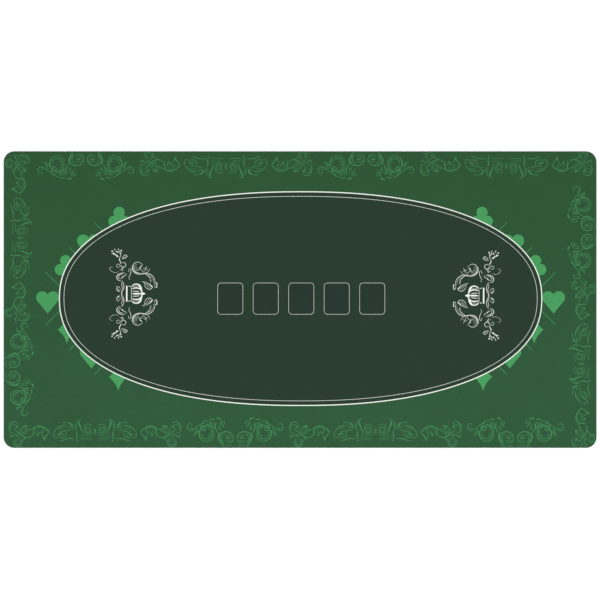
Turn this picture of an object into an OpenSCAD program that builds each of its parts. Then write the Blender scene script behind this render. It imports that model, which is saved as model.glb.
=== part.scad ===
// Poker mat: cloth on foam rubber with a printed poker layout.
// Origin at the middle of the underside, +X along the mat, +Z up out of the printed face.

/* [Mat] */
// Length of the mat
mat_l = 1800; // [1200:10:2400]
// Width of the mat
mat_w = 900; // [600:10:1200]
// Radius of the mat's corners
corner_r = 32; // [10:1:80]
// Thickness of the foam rubber base
rubber_t = 2; // [1:0.1:6]
// Thickness of the bond film
film_t = 0.1; // [0.05:0.01:0.3]
// Thickness of the playing cloth
cloth_t = 0.5; // [0.3:0.05:1.5]
// Thickness of one layer of ink
ink_t = 0.04; // [0.02:0.01:0.1]

/* [Print] */
// How far the whole print sits to the right of the mat's middle
print_shift = 1.5; // [-10:0.5:10]
// How far the whole print sits above the mat's middle
print_rise = 3; // [-10:0.5:10]

/* [Oval] */
// Space between the oval and each end of the mat
oval_end_gap = 166; // [156:1:260]
// Space between the oval and each long edge of the mat
oval_side_gap = 124; // [100:1:200]
// Roundness of the oval, where 2 is an ellipse
oval_power = 2.25; // [2:0.05:2.8]
// Width of the outer line
outer_line_w = 3; // [1:0.1:10]
// Width of the inner line
inner_line_w = 1; // [0.5:0.1:6]
// Dark gap between the two lines
line_gap = 11.9; // [6:0.1:30]

/* [Card places] */
// Width of a card
card_w = 63.5; // [50:0.5:70]
// Length of a card
card_l = 89; // [80:0.5:100]
// Space between a card's side and the inside of its frame
card_side_play = 6.1; // [1:0.1:10]
// Space between a card's end and the inside of its frame
card_end_play = 2.7; // [1:0.1:10]
// Width of the frame's line
frame_line_w = 0.8; // [0.5:0.1:4]
// Outer corner radius of the frame
frame_r = 11; // [5:0.5:20]
// Space between one frame and the next
frame_gap = 30.5; // [15:0.1:40]
// How far the row of card places sits to the right of the oval's middle
places_shift = 2; // [-10:0.5:10]

/* [Suit marks] */
// How far the middle of the outermost hearts lies beyond the oval's ends
heart_overhang = 34; // [0:1:40]
// Radius of a lobe of a heart
heart_lobe_r = 18.6; // [12:0.1:24]
// Radius of a lobe of a club
club_lobe_r = 17; // [12:0.1:22]
// Half the width of a diamond
diamond_half_w = 28.5; // [20:0.5:36]
// Half the height of a diamond
diamond_half_h = 43; // [30:0.5:52]
// Width of a lattice line
lattice_w = 1.4; // [0.5:0.1:4]
// Length of a lattice line before the oval covers its end
lattice_l = 62; // [40:1:90]

/* [Crests] */
// Distance from the oval's left end to the foot of the left crown
left_crest_gap = 204; // [120:1:240]
// Distance from the oval's right end to the foot of the right crown
right_crest_gap = 176; // [120:1:240]
// Height of the left crest above the middle of the layout
left_crest_rise = 15; // [-30:1:30]
// Height of the right crest above the middle of the layout
right_crest_rise = 9; // [-30:1:30]
// Width of a thin stroke
thin_w = 1.8; // [1:0.1:3]
// Width of a bold stroke
bold_w = 3; // [2:0.1:5]

/* [Border] */
// Space between the border and each end of the mat
border_end_gap = 8.5; // [5:0.5:20]
// Space between the border and each long edge of the mat
border_side_gap = 6; // [4:0.5:20]
// Distance from the border's corner to the first rosette of a long strip
long_lead = 239; // [200:0.5:320]
// Distance from the last bracket of a long strip to the border's corner
long_tail = 267; // [265:0.5:330]
// Distance from the border's corner to the first rosette of a short strip
short_lead = 236; // [200:0.5:320]
// Distance from the last bracket of a short strip to the border's corner
short_tail = 253; // [250:0.5:330]
// How far both short strips slide down the mat
short_slide = 7; // [-10:0.5:10]
// Unprinted margin along the mat's edge
edge_margin = 2; // [1:0.5:8]

/* [Hidden] */
$fn = 96;

// Levels of the stack
film_z = rubber_t;
cloth_z = film_z + film_t;
ink_z = cloth_z + cloth_t;
top_ink_z = ink_z + ink_t;

// The oval's half axes, at the outside of the outer line
oval_a = mat_l / 2 - oval_end_gap;
oval_b = mat_w / 2 - oval_side_gap;
oval_steps = 144;

// The card places
place_w = card_w + 2 * card_side_play;
place_l = card_l + 2 * card_end_play;
frame_w = place_w + 2 * frame_line_w;
frame_l = place_l + 2 * frame_line_w;
frame_pitch = frame_w + frame_gap;
card_places = 5;

// Heights of the suit marks and of the lattice lines, as shares of the oval's half width
upper_rows = [0.27, 0.54, 0.72];
lower_rows = [-0.29, -0.5, -0.73];
lattice_rows = [0.245, 0.48, 0.71];

// How far out from the oval's edge the middle of each mark and the end of each lattice line lies
upper_outs = [-3, -2, 1];
lower_outs = [-4, -26, 11];
lattice_outs = [54, 35, 70];
lattice_turn = 225;

// A motif is drawn for this spacing, and shrinks where the spacing in use is closer
drawn_pitch = 412;
long_groups = 2;
short_groups = 1;
border_l = mat_l - 2 * border_end_gap;
border_w = mat_w - 2 * border_side_gap;
long_pitch = (border_l - long_lead - long_tail) / (2 * long_groups - 1);
short_pitch = (border_w - short_lead - short_tail) / (2 * short_groups - 1);
long_k = min(1, long_pitch / drawn_pitch);
short_k = min(1, short_pitch / drawn_pitch);

ground_green = [0.19, 0.36, 0.24];
scroll_green = [0.24, 0.50, 0.31];
suit_green = [0.28, 0.61, 0.36];
field_green = [0.17, 0.24, 0.19];
fill_green = [0.15, 0.22, 0.20];
ivory = [0.95, 0.95, 0.91];

// ---- shared shapes ----

// A flat plate with round corners, centred on the origin
module plate(l, w, r) {
    square([l - 2 * r, w], center = true);
    square([l, w - 2 * r], center = true);
    for (x = [-1, 1], y = [-1, 1])
        translate([x * (l / 2 - r), y * (w / 2 - r)]) circle(r);
}

function oval_coord(v) = sign(v) * pow(abs(v), 2 / oval_power);

// The oval's outline, drawn in by a distance
function oval_outline(inset) = [
    for (i = [0 : oval_steps - 1])
        let (t = 360 * i / oval_steps)
        [(oval_a - inset) * oval_coord(cos(t)), (oval_b - inset) * oval_coord(sin(t))]
];

module oval(inset) {
    translate([print_shift, print_rise]) polygon(oval_outline(inset));
}

// How far from the middle the oval's edge lies at a share of its half width
function oval_edge_x(share) = oval_a * pow(1 - pow(abs(share), oval_power), 1 / oval_power);

// A stroke along an arc, as a solid of one ink layer
module arc(x, y, r, from, to, w) {
    translate([x, y, 0])
        rotate([0, 0, from])
            rotate_extrude(angle = to - from)
                translate([r - w / 2, 0]) square([w, ink_t]);
}

module dot(x, y, r) {
    translate([x, y, 0]) cylinder(r = r, h = ink_t);
}

// A straight stroke from one point to another
module stick(x1, y1, x2, y2, w) {
    run = norm([x2 - x1, y2 - y1]);
    translate([x1, y1, 0])
        rotate([0, 0, atan2(y2 - y1, x2 - x1)])
            translate([0, -w / 2, 0]) cube([run, w, ink_t]);
}

module both_ways() {
    children();
    mirror([0, 1, 0]) children();
}

// ---- the laminate ----

module mat_sheet(z, t) {
    translate([0, 0, z]) linear_extrude(t) plate(mat_l, mat_w, corner_r);
}

module rubber_base() {
    color("black") mat_sheet(0, rubber_t);
}

module bond_film() {
    color("gainsboro") mat_sheet(film_z, film_t);
}

module playing_cloth() {
    color(ground_green) mat_sheet(cloth_z, cloth_t);
}

// ---- the oval ----

module oval_field() {
    color(field_green) translate([0, 0, ink_z]) linear_extrude(ink_t) oval(0);
}

module oval_line(inset, w) {
    color(ivory) translate([0, 0, top_ink_z]) linear_extrude(ink_t)
        difference() {
            oval(inset);
            oval(inset + w);
        }
}

module oval_outer_line() {
    oval_line(0, outer_line_w);
}

module oval_inner_line() {
    oval_line(outer_line_w + line_gap, inner_line_w);
}

// ---- the card places ----

module at_place(i) {
    steps = i - (card_places + 1) / 2;
    translate([print_shift + places_shift + steps * frame_pitch, print_rise, top_ink_z]) children();
}

module card_frame(i) {
    color(ivory) at_place(i) linear_extrude(ink_t)
        difference() {
            plate(frame_w, frame_l, frame_r);
            plate(place_w, place_l, frame_r - frame_line_w);
        }
}

module card_fill(i) {
    color(fill_green) at_place(i) linear_extrude(ink_t)
        plate(place_w, place_l, frame_r - frame_line_w);
}

// ---- the suit marks ----

// A heart whose lobes' centres lie on the X axis
module heart() {
    lobe_x = heart_lobe_r * 0.876;
    tip_y = heart_lobe_r * 2.634;
    reach = norm([lobe_x, tip_y]);
    side = sqrt(reach * reach - heart_lobe_r * heart_lobe_r);
    lean = atan2(tip_y, lobe_x) - asin(heart_lobe_r / reach);
    touch_x = side * cos(lean);
    touch_y = side * sin(lean) - tip_y;
    for (s = [-1, 1]) translate([s * lobe_x, 0]) circle(heart_lobe_r);
    polygon([[0, -tip_y], [touch_x, touch_y], [lobe_x, 0], [-lobe_x, 0], [-touch_x, touch_y]]);
}

// A club whose lower lobes' centres lie on the X axis
module club() {
    lobe_x = club_lobe_r * 0.93;
    top_y = club_lobe_r * 1.6;
    foot_y = club_lobe_r * 2;
    for (s = [-1, 1]) translate([s * lobe_x, 0]) circle(club_lobe_r);
    translate([0, top_y]) circle(club_lobe_r);
    polygon([
        [-club_lobe_r * 0.5, -foot_y], [club_lobe_r * 0.5, -foot_y],
        [club_lobe_r * 0.3, club_lobe_r], [-club_lobe_r * 0.3, club_lobe_r]
    ]);
}

// A diamond with hollowed sides, centred on the origin
module diamond() {
    side = norm([diamond_half_w, diamond_half_h]);
    hollow = side * 0.09;
    r = side * side / (8 * hollow) + hollow / 2;
    away = r - hollow;
    nx = diamond_half_h / side;
    ny = diamond_half_w / side;
    difference() {
        polygon([[diamond_half_w, 0], [0, diamond_half_h], [-diamond_half_w, 0], [0, -diamond_half_h]]);
        for (x = [-1, 1], y = [-1, 1])
            translate([
                x * (diamond_half_w / 2 + away * nx),
                y * (diamond_half_h / 2 + away * ny)
            ]) circle(r, $fn = 180);
    }
}

// Puts a mark by the oval's end: its row, and how far it lies out from the oval's edge
module by_oval(row, out) {
    translate([oval_edge_x(row) + out, row * oval_b]) children();
}

// Prints at the oval's right end, for side = 1, or its left end, for side = -1,
// and leaves out what the oval covers
module beside_oval(side) {
    color(suit_green) translate([0, 0, ink_z]) linear_extrude(ink_t)
        difference() {
            translate([print_shift, print_rise]) scale([side, 1]) children();
            oval(0);
        }
}

module suit_marks() {
    end_heart_rise = heart_lobe_r / 5;
    translate([oval_a + heart_overhang, end_heart_rise]) heart();
    by_oval(upper_rows[0], upper_outs[0]) club();
    by_oval(upper_rows[1], upper_outs[1]) heart();
    by_oval(upper_rows[2], upper_outs[2]) club();
    by_oval(lower_rows[0], lower_outs[0]) diamond();
    by_oval(lower_rows[1], lower_outs[1]) heart();
    by_oval(lower_rows[2], lower_outs[2]) diamond();
}

module suit_marks_right() {
    beside_oval(1) suit_marks();
}

module suit_marks_left() {
    beside_oval(-1) suit_marks();
}

// Slanted lines that run in under the oval between the suit marks
module lattice_lines() {
    for (i = [0 : len(lattice_outs) - 1], s = [-1, 1])
        by_oval(s * lattice_rows[i], lattice_outs[i])
            rotate([0, 0, s * lattice_turn])
                translate([0, -lattice_w / 2]) square([lattice_l, lattice_w]);
}

module lattice_lines_right() {
    beside_oval(1) lattice_lines();
}

module lattice_lines_left() {
    beside_oval(-1) lattice_lines();
}

// ---- the crests: each drawn from the foot of the crown, with the crown's tip towards +X ----

module at_left_crest() {
    x = print_shift + left_crest_gap - oval_a;
    translate([x, print_rise + left_crest_rise, top_ink_z]) children();
}

module at_right_crest() {
    x = print_shift + oval_a - right_crest_gap;
    translate([x, print_rise + right_crest_rise, top_ink_z]) mirror([1, 0, 0]) children();
}

// A ribbed dome over a straight foot
module crown() {
    foot_l = 48;
    foot_t = 4.5;
    neck_in = 2;
    dome_x = 17;
    dome_r = 31;
    ribs = [0, 7.5, 17];
    rib_start = dome_x + bold_w / 2;
    rib_end = dome_r - bold_w / 2;
    tip_l = 9;
    tip_half_w = 5;
    color(ivory) {
        translate([0, -foot_l / 2, 0]) cube([foot_t, foot_l, ink_t]);
        both_ways()
            stick(foot_t / 2, foot_l / 2 - neck_in, rib_start, foot_l / 2 - neck_in, thin_w);
        translate([dome_x, 0, 0]) linear_extrude(ink_t) intersection() {
            difference() {
                circle(dome_r);
                circle(dome_r - bold_w);
            }
            translate([0, -dome_r]) square([dome_r, 2 * dome_r]);
        }
        translate([dome_x, -dome_r, 0]) cube([bold_w, 2 * dome_r, ink_t]);
        both_ways() for (y = ribs)
            stick(rib_start, y, dome_x + sqrt(rib_end * rib_end - y * y), y, bold_w);
        translate([dome_x + rib_end, 0, 0]) linear_extrude(ink_t)
            polygon([[0, -tip_half_w], [tip_l, 0], [0, tip_half_w]]);
    }
}

// The two large scrolls that reach round the crown
module crown_scrolls() {
    color(ivory) both_ways() {
        arc(36, 78, 18, 30, 270, bold_w);
        arc(38, 80, 9, -60, 200, thin_w);
        dot(48, 84, 3.5);
        arc(52, 21, 39, 8, 112, bold_w);
        arc(56, 22, 26, 20, 100, thin_w);
        dot(91, 22, 4);
        arc(66, 26, 10, -90, 200, thin_w);
        dot(74, 20, 3.5);
        arc(6, 60, 12, -60, 60, thin_w);
        dot(8, 74, 3);
    }
}

// The upright chain of curls behind the crown
module vine_column() {
    color(ivory) both_ways() {
        arc(-15, 12, 13, -60, 60, thin_w);
        dot(-26, 10, 4.5);
        arc(-17, 52, 13, 60, 330, bold_w);
        dot(-13, 54, 4);
        arc(-4, 30, 11, 120, 240, thin_w);
        arc(-5, 88, 8, 0, 360, thin_w);
        arc(-22, 86, 6, 0, 360, thin_w);
        arc(-38, 78, 14, 110, 270, thin_w);
        arc(-27, 106, 10, -30, 60, thin_w);
        dot(-1, 115, 4);
        dot(-20, 118, 4);
        dot(-28, 128, 4);
        dot(-15, 131, 4);
        dot(-38, 124, 4);
        dot(-42, 131, 3);
    }
}

module crown_left() {
    at_left_crest() crown();
}

module crown_right() {
    at_right_crest() crown();
}

module crown_scrolls_left() {
    at_left_crest() crown_scrolls();
}

module crown_scrolls_right() {
    at_right_crest() crown_scrolls();
}

module vine_column_left() {
    at_left_crest() vine_column();
}

module vine_column_right() {
    at_right_crest() vine_column();
}

// ---- the border: each motif is drawn about its own middle, with +Y from the mat's edge inwards ----

module half_rosette() {
    arc(30, 17, 22, 0, 360, bold_w);
    arc(24, 25, 9, 10, 280, thin_w);
    arc(30, 58, 24, -50, 35, bold_w);
    arc(86, 35, 24, 0, 360, bold_w);
    arc(86, 35, 16, 80, 270, thin_w);
    arc(88, 34, 8, 0, 270, thin_w);
    arc(98, 56, 8.5, 0, 360, bold_w);
    stick(88, 78, 96, 68, bold_w);
    arc(128, 46, 13, 170, 280, thin_w);
    arc(132, 56, 10, -120, 130, bold_w);
    arc(68.5, 75.5, 6, 0, 360, thin_w);
    arc(35, 56, 9, 0, 290, thin_w);
    dot(36, 56, 3);
    dot(46, 79, 3.5);
    dot(34, 71, 3);
}

module half_bracket() {
    arc(20.5, 45.5, 14, 0, 360, thin_w);
    arc(20.5, 45.5, 7, 0, 270, thin_w);
    arc(20.5, 47, 20, -80, 0, thin_w);
    stick(9.5, 19, 46, 19, thin_w);
    stick(50, 11, 54.5, 38, thin_w);
    stick(57, 20, 80, 19, bold_w);
    stick(84, 17, 106, 13.5, thin_w);
    stick(45.5, 74, 44.5, 52, bold_w);
    arc(46, 61, 14.5, -30, 75, thin_w);
    stick(65, 48, 88, 43.5, thin_w);
    arc(99, 31, 10.5, -130, 60, thin_w);
    dot(97, 31, 4);
    stick(66, 61, 104, 55.5, bold_w);
    stick(107, 54, 124, 42.5, thin_w);
    stick(73, 67, 98, 66, thin_w);
    stick(119.5, 22, 118.5, 38, thin_w);
    stick(127.5, 22, 126.5, 36, thin_w);
}

// The vine hangs on the bracket's side and runs out to the rosette
module vine() {
    stick(154, 13, 140, 38, thin_w);
    stick(154, 13, 161, 31, thin_w);
    arc(166, 33, 24, 40, 150, bold_w);
    dot(174, 30, 4);
    stick(186, 26, 185, 42, bold_w);
    arc(206, 36, 14, -150, -40, bold_w);
    stick(221, 31, 240, 46, bold_w);
    stick(213, 20, 225, 9, thin_w);
    arc(235, 7, 12.5, 0, 360, thin_w);
    arc(213, 44.5, 9, 0, 360, thin_w);
    arc(213, 44.5, 4, 0, 270, thin_w);
    stick(205, 58, 222, 57, bold_w);
    stick(238, 24, 236, 31, thin_w);
    stick(237, 36, 252, 30, bold_w);
    arc(246, 56, 15.5, -80, 110, bold_w);
    stick(234, 61, 245, 54, bold_w);
}

module mirrored_pair() {
    children();
    mirror([1, 0, 0]) children();
}

// One strip, drawn from the border's corner along +X
module strip(lead, pitch, k, groups) {
    for (i = [0 : groups - 1]) {
        translate([lead + 2 * i * pitch, 0, 0])
            scale([k, k, 1]) mirrored_pair() half_rosette();
        translate([lead + (2 * i + 1) * pitch, 0, 0])
            scale([k, k, 1]) mirrored_pair() {
                half_bracket();
                vine();
            }
    }
}

// Turns a strip onto its edge of the border, and cuts off what would run over the mat's edge
module placed_strip(turn, l, w, lead, pitch, k, groups) {
    color(scroll_green) translate([0, 0, ink_z]) intersection() {
        translate([print_shift, print_rise, 0])
            rotate([0, 0, turn])
                translate([-l / 2, w / 2, 0])
                    mirror([0, 1, 0]) strip(lead, pitch, k, groups);
        linear_extrude(ink_t)
            plate(mat_l - 2 * edge_margin, mat_w - 2 * edge_margin, corner_r - edge_margin);
    }
}

module border_scrolls_top() {
    placed_strip(0, border_l, border_w, long_lead, long_pitch, long_k, long_groups);
}

module border_scrolls_right() {
    placed_strip(-90, border_w, border_l, short_lead + short_slide, short_pitch, short_k, short_groups);
}

module border_scrolls_bottom() {
    placed_strip(180, border_l, border_w, long_lead, long_pitch, long_k, long_groups);
}

module border_scrolls_left() {
    placed_strip(90, border_w, border_l, short_lead - short_slide, short_pitch, short_k, short_groups);
}

// ---- the nodes ----

rubber_base();
bond_film();
playing_cloth();
border_scrolls_top();
border_scrolls_right();
border_scrolls_bottom();
border_scrolls_left();
suit_marks_left();
suit_marks_right();
lattice_lines_left();
lattice_lines_right();
oval_field();
oval_outer_line();
oval_inner_line();
for (i = [1 : card_places]) {
    card_frame(i);
    card_fill(i);
}
crown_left();
crown_right();
crown_scrolls_left();
crown_scrolls_right();
vine_column_left();
vine_column_right();
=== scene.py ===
"""A printed poker mat of cloth on foam rubber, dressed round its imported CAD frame.

The laminate, the printed layout, the crests and the border are one class each, and
each finish is a frozen dataclass. Lengths are in metres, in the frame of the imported
model, unless a name or a docstring says millimetres.
"""

from __future__ import annotations

import logging
import math
from dataclasses import dataclass, field
from enum import Enum
from functools import partial

import bmesh
import bpy
from mathutils import Euler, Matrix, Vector

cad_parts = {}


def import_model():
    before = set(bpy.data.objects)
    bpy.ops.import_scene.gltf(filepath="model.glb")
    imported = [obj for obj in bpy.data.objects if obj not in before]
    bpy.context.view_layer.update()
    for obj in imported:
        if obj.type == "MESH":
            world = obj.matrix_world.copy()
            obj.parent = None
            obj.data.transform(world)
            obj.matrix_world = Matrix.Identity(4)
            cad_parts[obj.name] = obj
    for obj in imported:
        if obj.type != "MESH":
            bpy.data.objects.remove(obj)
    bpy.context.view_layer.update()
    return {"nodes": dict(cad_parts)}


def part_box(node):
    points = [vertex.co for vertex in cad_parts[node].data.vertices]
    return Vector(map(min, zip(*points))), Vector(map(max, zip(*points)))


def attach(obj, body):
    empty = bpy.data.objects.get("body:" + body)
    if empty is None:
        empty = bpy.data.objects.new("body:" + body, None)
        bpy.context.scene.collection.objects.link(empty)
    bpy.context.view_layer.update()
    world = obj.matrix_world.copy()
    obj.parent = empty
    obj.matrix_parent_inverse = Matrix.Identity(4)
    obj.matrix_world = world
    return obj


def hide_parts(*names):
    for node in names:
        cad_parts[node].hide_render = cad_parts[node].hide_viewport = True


LOG = logging.getLogger("poker_mat")
MM = 0.001
BODY = "root"
INK_T = 0.04 * MM

Point = tuple[float, float]
Colour = tuple[float, float, float]


# ---- small tools ----


def linear(red: float, green: float, blue: float, light: float = 1.0) -> Colour:
    """Turns a screen colour into the linear colour of a surface.

    Args:
        red: Red, from 0 to 255.
        green: Green, from 0 to 255.
        blue: Blue, from 0 to 255.
        light: How strongly the studio lights the surface, which is divided out.

    Returns:
        The linear red, green and blue.
    """
    out = []
    for level in (red, green, blue):
        share = level / 255
        value = share / 12.92 if share <= 0.04045 else ((share + 0.055) / 1.055) ** 2.4
        out.append(value / light)
    return out[0], out[1], out[2]


class Bench:
    """Adds nodes to a node tree and wires them."""

    def __init__(self, tree: bpy.types.NodeTree) -> None:
        """Takes the tree to work on."""
        self.tree = tree

    def add(self, kind: str, wires: dict | None = None, **settings: object) -> bpy.types.Node:
        """Adds one node.

        Args:
            kind: The node's type.
            wires: Input names or numbers, each with a plain value or the socket to link.
            settings: The node's own properties.

        Returns:
            The new node.
        """
        node = self.tree.nodes.new(kind)
        for name, value in settings.items():
            setattr(node, name, value)
        for key, value in (wires or {}).items():
            socket = node.inputs[key]
            if isinstance(value, bpy.types.NodeSocket):
                self.tree.links.new(value, socket)
            else:
                socket.default_value = value
        return node

    def out(
        self, kind: str, wires: dict | None = None, **settings: object
    ) -> bpy.types.NodeSocket:
        """Adds one node, as add does, and returns its first output."""
        return self.add(kind, wires, **settings).outputs[0]

    def math(self, operation: str, *values: object) -> bpy.types.NodeSocket:
        """Adds a math node on numbers or sockets, in order, and returns its result."""
        return self.out("ShaderNodeMath", dict(enumerate(values)), operation=operation)

    def vector(self, **parts: object) -> bpy.types.NodeSocket:
        """Builds a vector from its X, Y and Z, where one that is left out is zero."""
        return self.out("ShaderNodeCombineXYZ", parts)

    def moved(self, shape: bpy.types.NodeSocket, **how: object) -> bpy.types.NodeSocket:
        """Moves geometry by a Translation, a Rotation and a Scale, each of them optional."""
        return self.out("GeometryNodeTransform", {"Geometry": shape, **how})

    def row(
        self, count: object, start: object, step: object, shape: bpy.types.NodeSocket
    ) -> bpy.types.NodeSocket:
        """Sets copies of geometry in a straight row.

        Args:
            count: How many there are.
            start: The first one's place.
            step: The way from one to the next.
            shape: The geometry.

        Returns:
            The copies, as instances.
        """
        places = {"Count": count, "Start Location": start, "Offset": step}
        line = self.out("GeometryNodeMeshLine", places, mode="OFFSET")
        return self.out("GeometryNodeInstanceOnPoints", {"Points": line, "Instance": shape})

    def join(self, *shapes: bpy.types.NodeSocket) -> bpy.types.NodeSocket:
        """Joins geometry, in order."""
        join = self.add("GeometryNodeJoinGeometry")
        for shape in shapes:
            self.tree.links.new(shape, join.inputs["Geometry"])
        return join.outputs[0]

    def end(self, shape: bpy.types.NodeSocket, material: bpy.types.NodeSocket) -> None:
        """Ends a tree: makes instances real, sets the material and gives the result out."""
        real = self.out("GeometryNodeRealizeInstances", {"Geometry": shape})
        done = self.out("GeometryNodeSetMaterial", {"Geometry": real, "Material": material})
        self.add("NodeGroupOutput", {"Geometry": done})


def new_tree(
    name: str, inputs: dict[str, tuple[str, object]]
) -> tuple[bpy.types.NodeTree, Bench, bpy.types.NodeOutputs]:
    """Starts a Geometry Nodes tree with a geometry output.

    Args:
        name: The tree's name.
        inputs: Each input's name, with its kind of socket and its default or None.

    Returns:
        The tree, its bench and the sockets of its inputs.
    """
    tree = bpy.data.node_groups.new(name, "GeometryNodeTree")
    tree.interface.new_socket("Geometry", in_out="OUTPUT", socket_type="NodeSocketGeometry")
    for label, (kind, default) in inputs.items():
        socket = tree.interface.new_socket(label, in_out="INPUT", socket_type=f"NodeSocket{kind}")
        if default is not None:
            socket.default_value = default
    bench = Bench(tree)
    return tree, bench, bench.add("NodeGroupInput").outputs


def new_material(name: str) -> tuple[bpy.types.Material, Bench, bpy.types.Node]:
    """Starts a material and gives it with its bench and its shader."""
    material = bpy.data.materials.new(name)
    material.use_nodes = True
    tree = material.node_tree
    return material, Bench(tree), tree.nodes["Principled BSDF"]


def grow(
    host: bpy.types.Object, tree: bpy.types.NodeTree, name: str, sizes: dict[str, object]
) -> bpy.types.Object:
    """Runs a Geometry Nodes tree on a host and keeps the result as a plain mesh.

    Args:
        host: The object whose geometry goes in. It is removed afterwards.
        tree: The tree.
        name: The finished piece's name.
        sizes: The value of each named input.

    Returns:
        The finished piece, at the origin.
    """
    modifier = host.modifiers.new("grow", "NODES")
    modifier.node_group = tree
    for item in tree.interface.items_tree:
        if item.item_type == "SOCKET" and item.in_out == "INPUT" and item.name in sizes:
            modifier[item.identifier] = sizes[item.name]
    graph = bpy.context.evaluated_depsgraph_get()
    mesh = bpy.data.meshes.new_from_object(host.evaluated_get(graph), depsgraph=graph)
    mesh.name = name
    bpy.data.objects.remove(host)
    piece = bpy.data.objects.new(name, mesh)
    bpy.context.collection.objects.link(piece)
    return piece


def turn_outwards(mesh: bpy.types.Mesh) -> None:
    """Turns every closed shell's faces outwards."""
    work = bmesh.new()
    work.from_mesh(mesh)
    bmesh.ops.recalc_face_normals(work, faces=work.faces)
    work.to_mesh(mesh)
    work.free()


def settle(piece: bpy.types.Object, slot: str, *nodes: str) -> bpy.types.Object:
    """Rides a piece on the mat, hides the CAD nodes that it stands for and logs its slot's name.

    Args:
        piece: The finished piece.
        slot: The name of the piece's material slot, which is only logged.
        nodes: The CAD nodes that the piece replaces.

    Returns:
        The same piece.
    """
    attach(piece, BODY)
    if nodes:
        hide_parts(*nodes)
    LOG.info("%s: %d faces, %s", piece.name, len(piece.data.polygons), slot)
    return piece


# ---- finishes ----


@dataclass(frozen=True)
class Knit:
    """The fine knit of the playing cloth, which shows through every ink."""

    pitch: float = 0.9 * MM
    relief: float = 0.06 * MM
    fibre: float = 0.25 * MM
    wave_period: float = 0.314

    def bump(self, bench: Bench, depth: float) -> tuple[bpy.types.NodeSocket, bpy.types.NodeSocket]:
        """Builds the knit's height and its bumped normal.

        Args:
            bench: The material's tree.
            depth: How much of the relief shows, from 0 to 1.

        Returns:
            The height, from 0 to 1, and the normal.
        """
        place = bench.add("ShaderNodeTexCoord").outputs["Object"]
        scale = self.wave_period / self.pitch
        waves = [
            bench.add(
                "ShaderNodeTexWave",
                {
                    "Vector": place,
                    "Scale": scale,
                    "Distortion": 1.2,
                    "Detail": 1.0,
                    "Detail Scale": 0.6,
                },
                wave_type="BANDS",
                bands_direction=axis,
            ).outputs["Fac"]
            for axis in ("X", "Y")
        ]
        stitch = bench.math("MULTIPLY", waves[0], waves[1])
        fibre = bench.add(
            "ShaderNodeTexNoise", {"Vector": place, "Scale": 1 / self.fibre, "Detail": 2.0}
        ).outputs["Fac"]
        stitch, fibre = (
            bench.math("MULTIPLY", part, share) for part, share in ((stitch, 0.7), (fibre, 0.3))
        )
        height = bench.math("ADD", stitch, fibre)
        bump = bench.add(
            "ShaderNodeBump", {"Height": height, "Strength": depth, "Distance": self.relief}
        )
        return height, bump.outputs["Normal"]


@dataclass(frozen=True)
class PaintedLightGradient:
    """Painted light: the cloth made lighter towards the mat's near edge, where more light falls, as
    gains at two distances across it.
    """

    far_gain: Colour = (0.96, 0.965, 0.965)
    near_gain: Colour = (1.05, 1.055, 1.14)
    far_y: float = 0.35
    near_y: float = -0.2

    def with_painted_light(
        self, bench: Bench, place: bpy.types.NodeSocket, colour: Colour
    ) -> bpy.types.NodeSocket:
        """Builds the colour with its painted light.

        Args:
            bench: The material's tree.
            place: The place on the mat.
            colour: The colour where both gains are one.

        Returns:
            The colour at each place.
        """
        across = bench.add("ShaderNodeSeparateXYZ", {0: place}).outputs["Y"]
        share = bench.add(
            "ShaderNodeMapRange", {"Value": across, "From Min": self.near_y, "From Max": self.far_y}
        ).outputs["Result"]
        near, far = (
            tuple(c * g for c, g in zip(colour, gain)) for gain in (self.near_gain, self.far_gain)
        )
        mix = bench.add(
            "ShaderNodeMix", {"Factor": share, "A": (*near, 1), "B": (*far, 1)}, data_type="RGBA"
        )
        return mix.outputs["Result"]


@dataclass(frozen=True)
class ClothFinish:
    """Dyed or printed cloth: one colour, a little uneven, over the knit."""

    name: str
    colour: Colour
    uneven: float = 0.07
    gap_shade: float = 0.16
    sheen: float = 0.025
    ink_cover: float = 0.0
    # Painted light: an optional brightening of the colour towards the mat's near edge.
    fade: PaintedLightGradient | None = None
    knit: Knit = field(default_factory=Knit)

    def material(self) -> bpy.types.Material:
        """Builds the material."""
        material, bench, shader = new_material(self.name)
        height, normal = self.knit.bump(bench, 0.6 - 0.3 * self.ink_cover)
        place = bench.add("ShaderNodeTexCoord").outputs["Object"]
        broad = bench.add("ShaderNodeTexNoise", {"Vector": place, "Scale": 7.0, "Detail": 3.0})
        fine = bench.add("ShaderNodeTexNoise", {"Vector": place, "Scale": 90.0, "Detail": 2.0})
        drift = bench.math("ADD", broad.outputs["Fac"], fine.outputs["Fac"])
        drift = bench.math("MULTIPLY", bench.math("SUBTRACT", drift, 1.0), self.uneven * 2)
        gaps = bench.math("MULTIPLY", bench.math("SUBTRACT", height, 0.32), self.gap_shade)
        gain = bench.math("ADD", bench.math("ADD", drift, gaps), 1.0)
        # The colour, with painted light towards the near edge where the finish has it.
        dye = self.fade.with_painted_light(bench, place, self.colour) if self.fade else self.colour
        tint = bench.add("ShaderNodeVectorMath", {0: dye, "Scale": gain}, operation="SCALE")
        bench.tree.links.new(tint.outputs["Vector"], shader.inputs["Base Color"])
        bench.tree.links.new(normal, shader.inputs["Normal"])
        smoother = bench.math("MULTIPLY", height, 0.1)
        rough = bench.math("SUBTRACT", 0.92 - 0.2 * self.ink_cover, smoother)
        bench.tree.links.new(rough, shader.inputs["Roughness"])
        shader.inputs["Specular IOR Level"].default_value = 0.08
        shader.inputs["Sheen Weight"].default_value = self.sheen
        shader.inputs["Sheen Roughness"].default_value = 0.6
        return material


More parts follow.
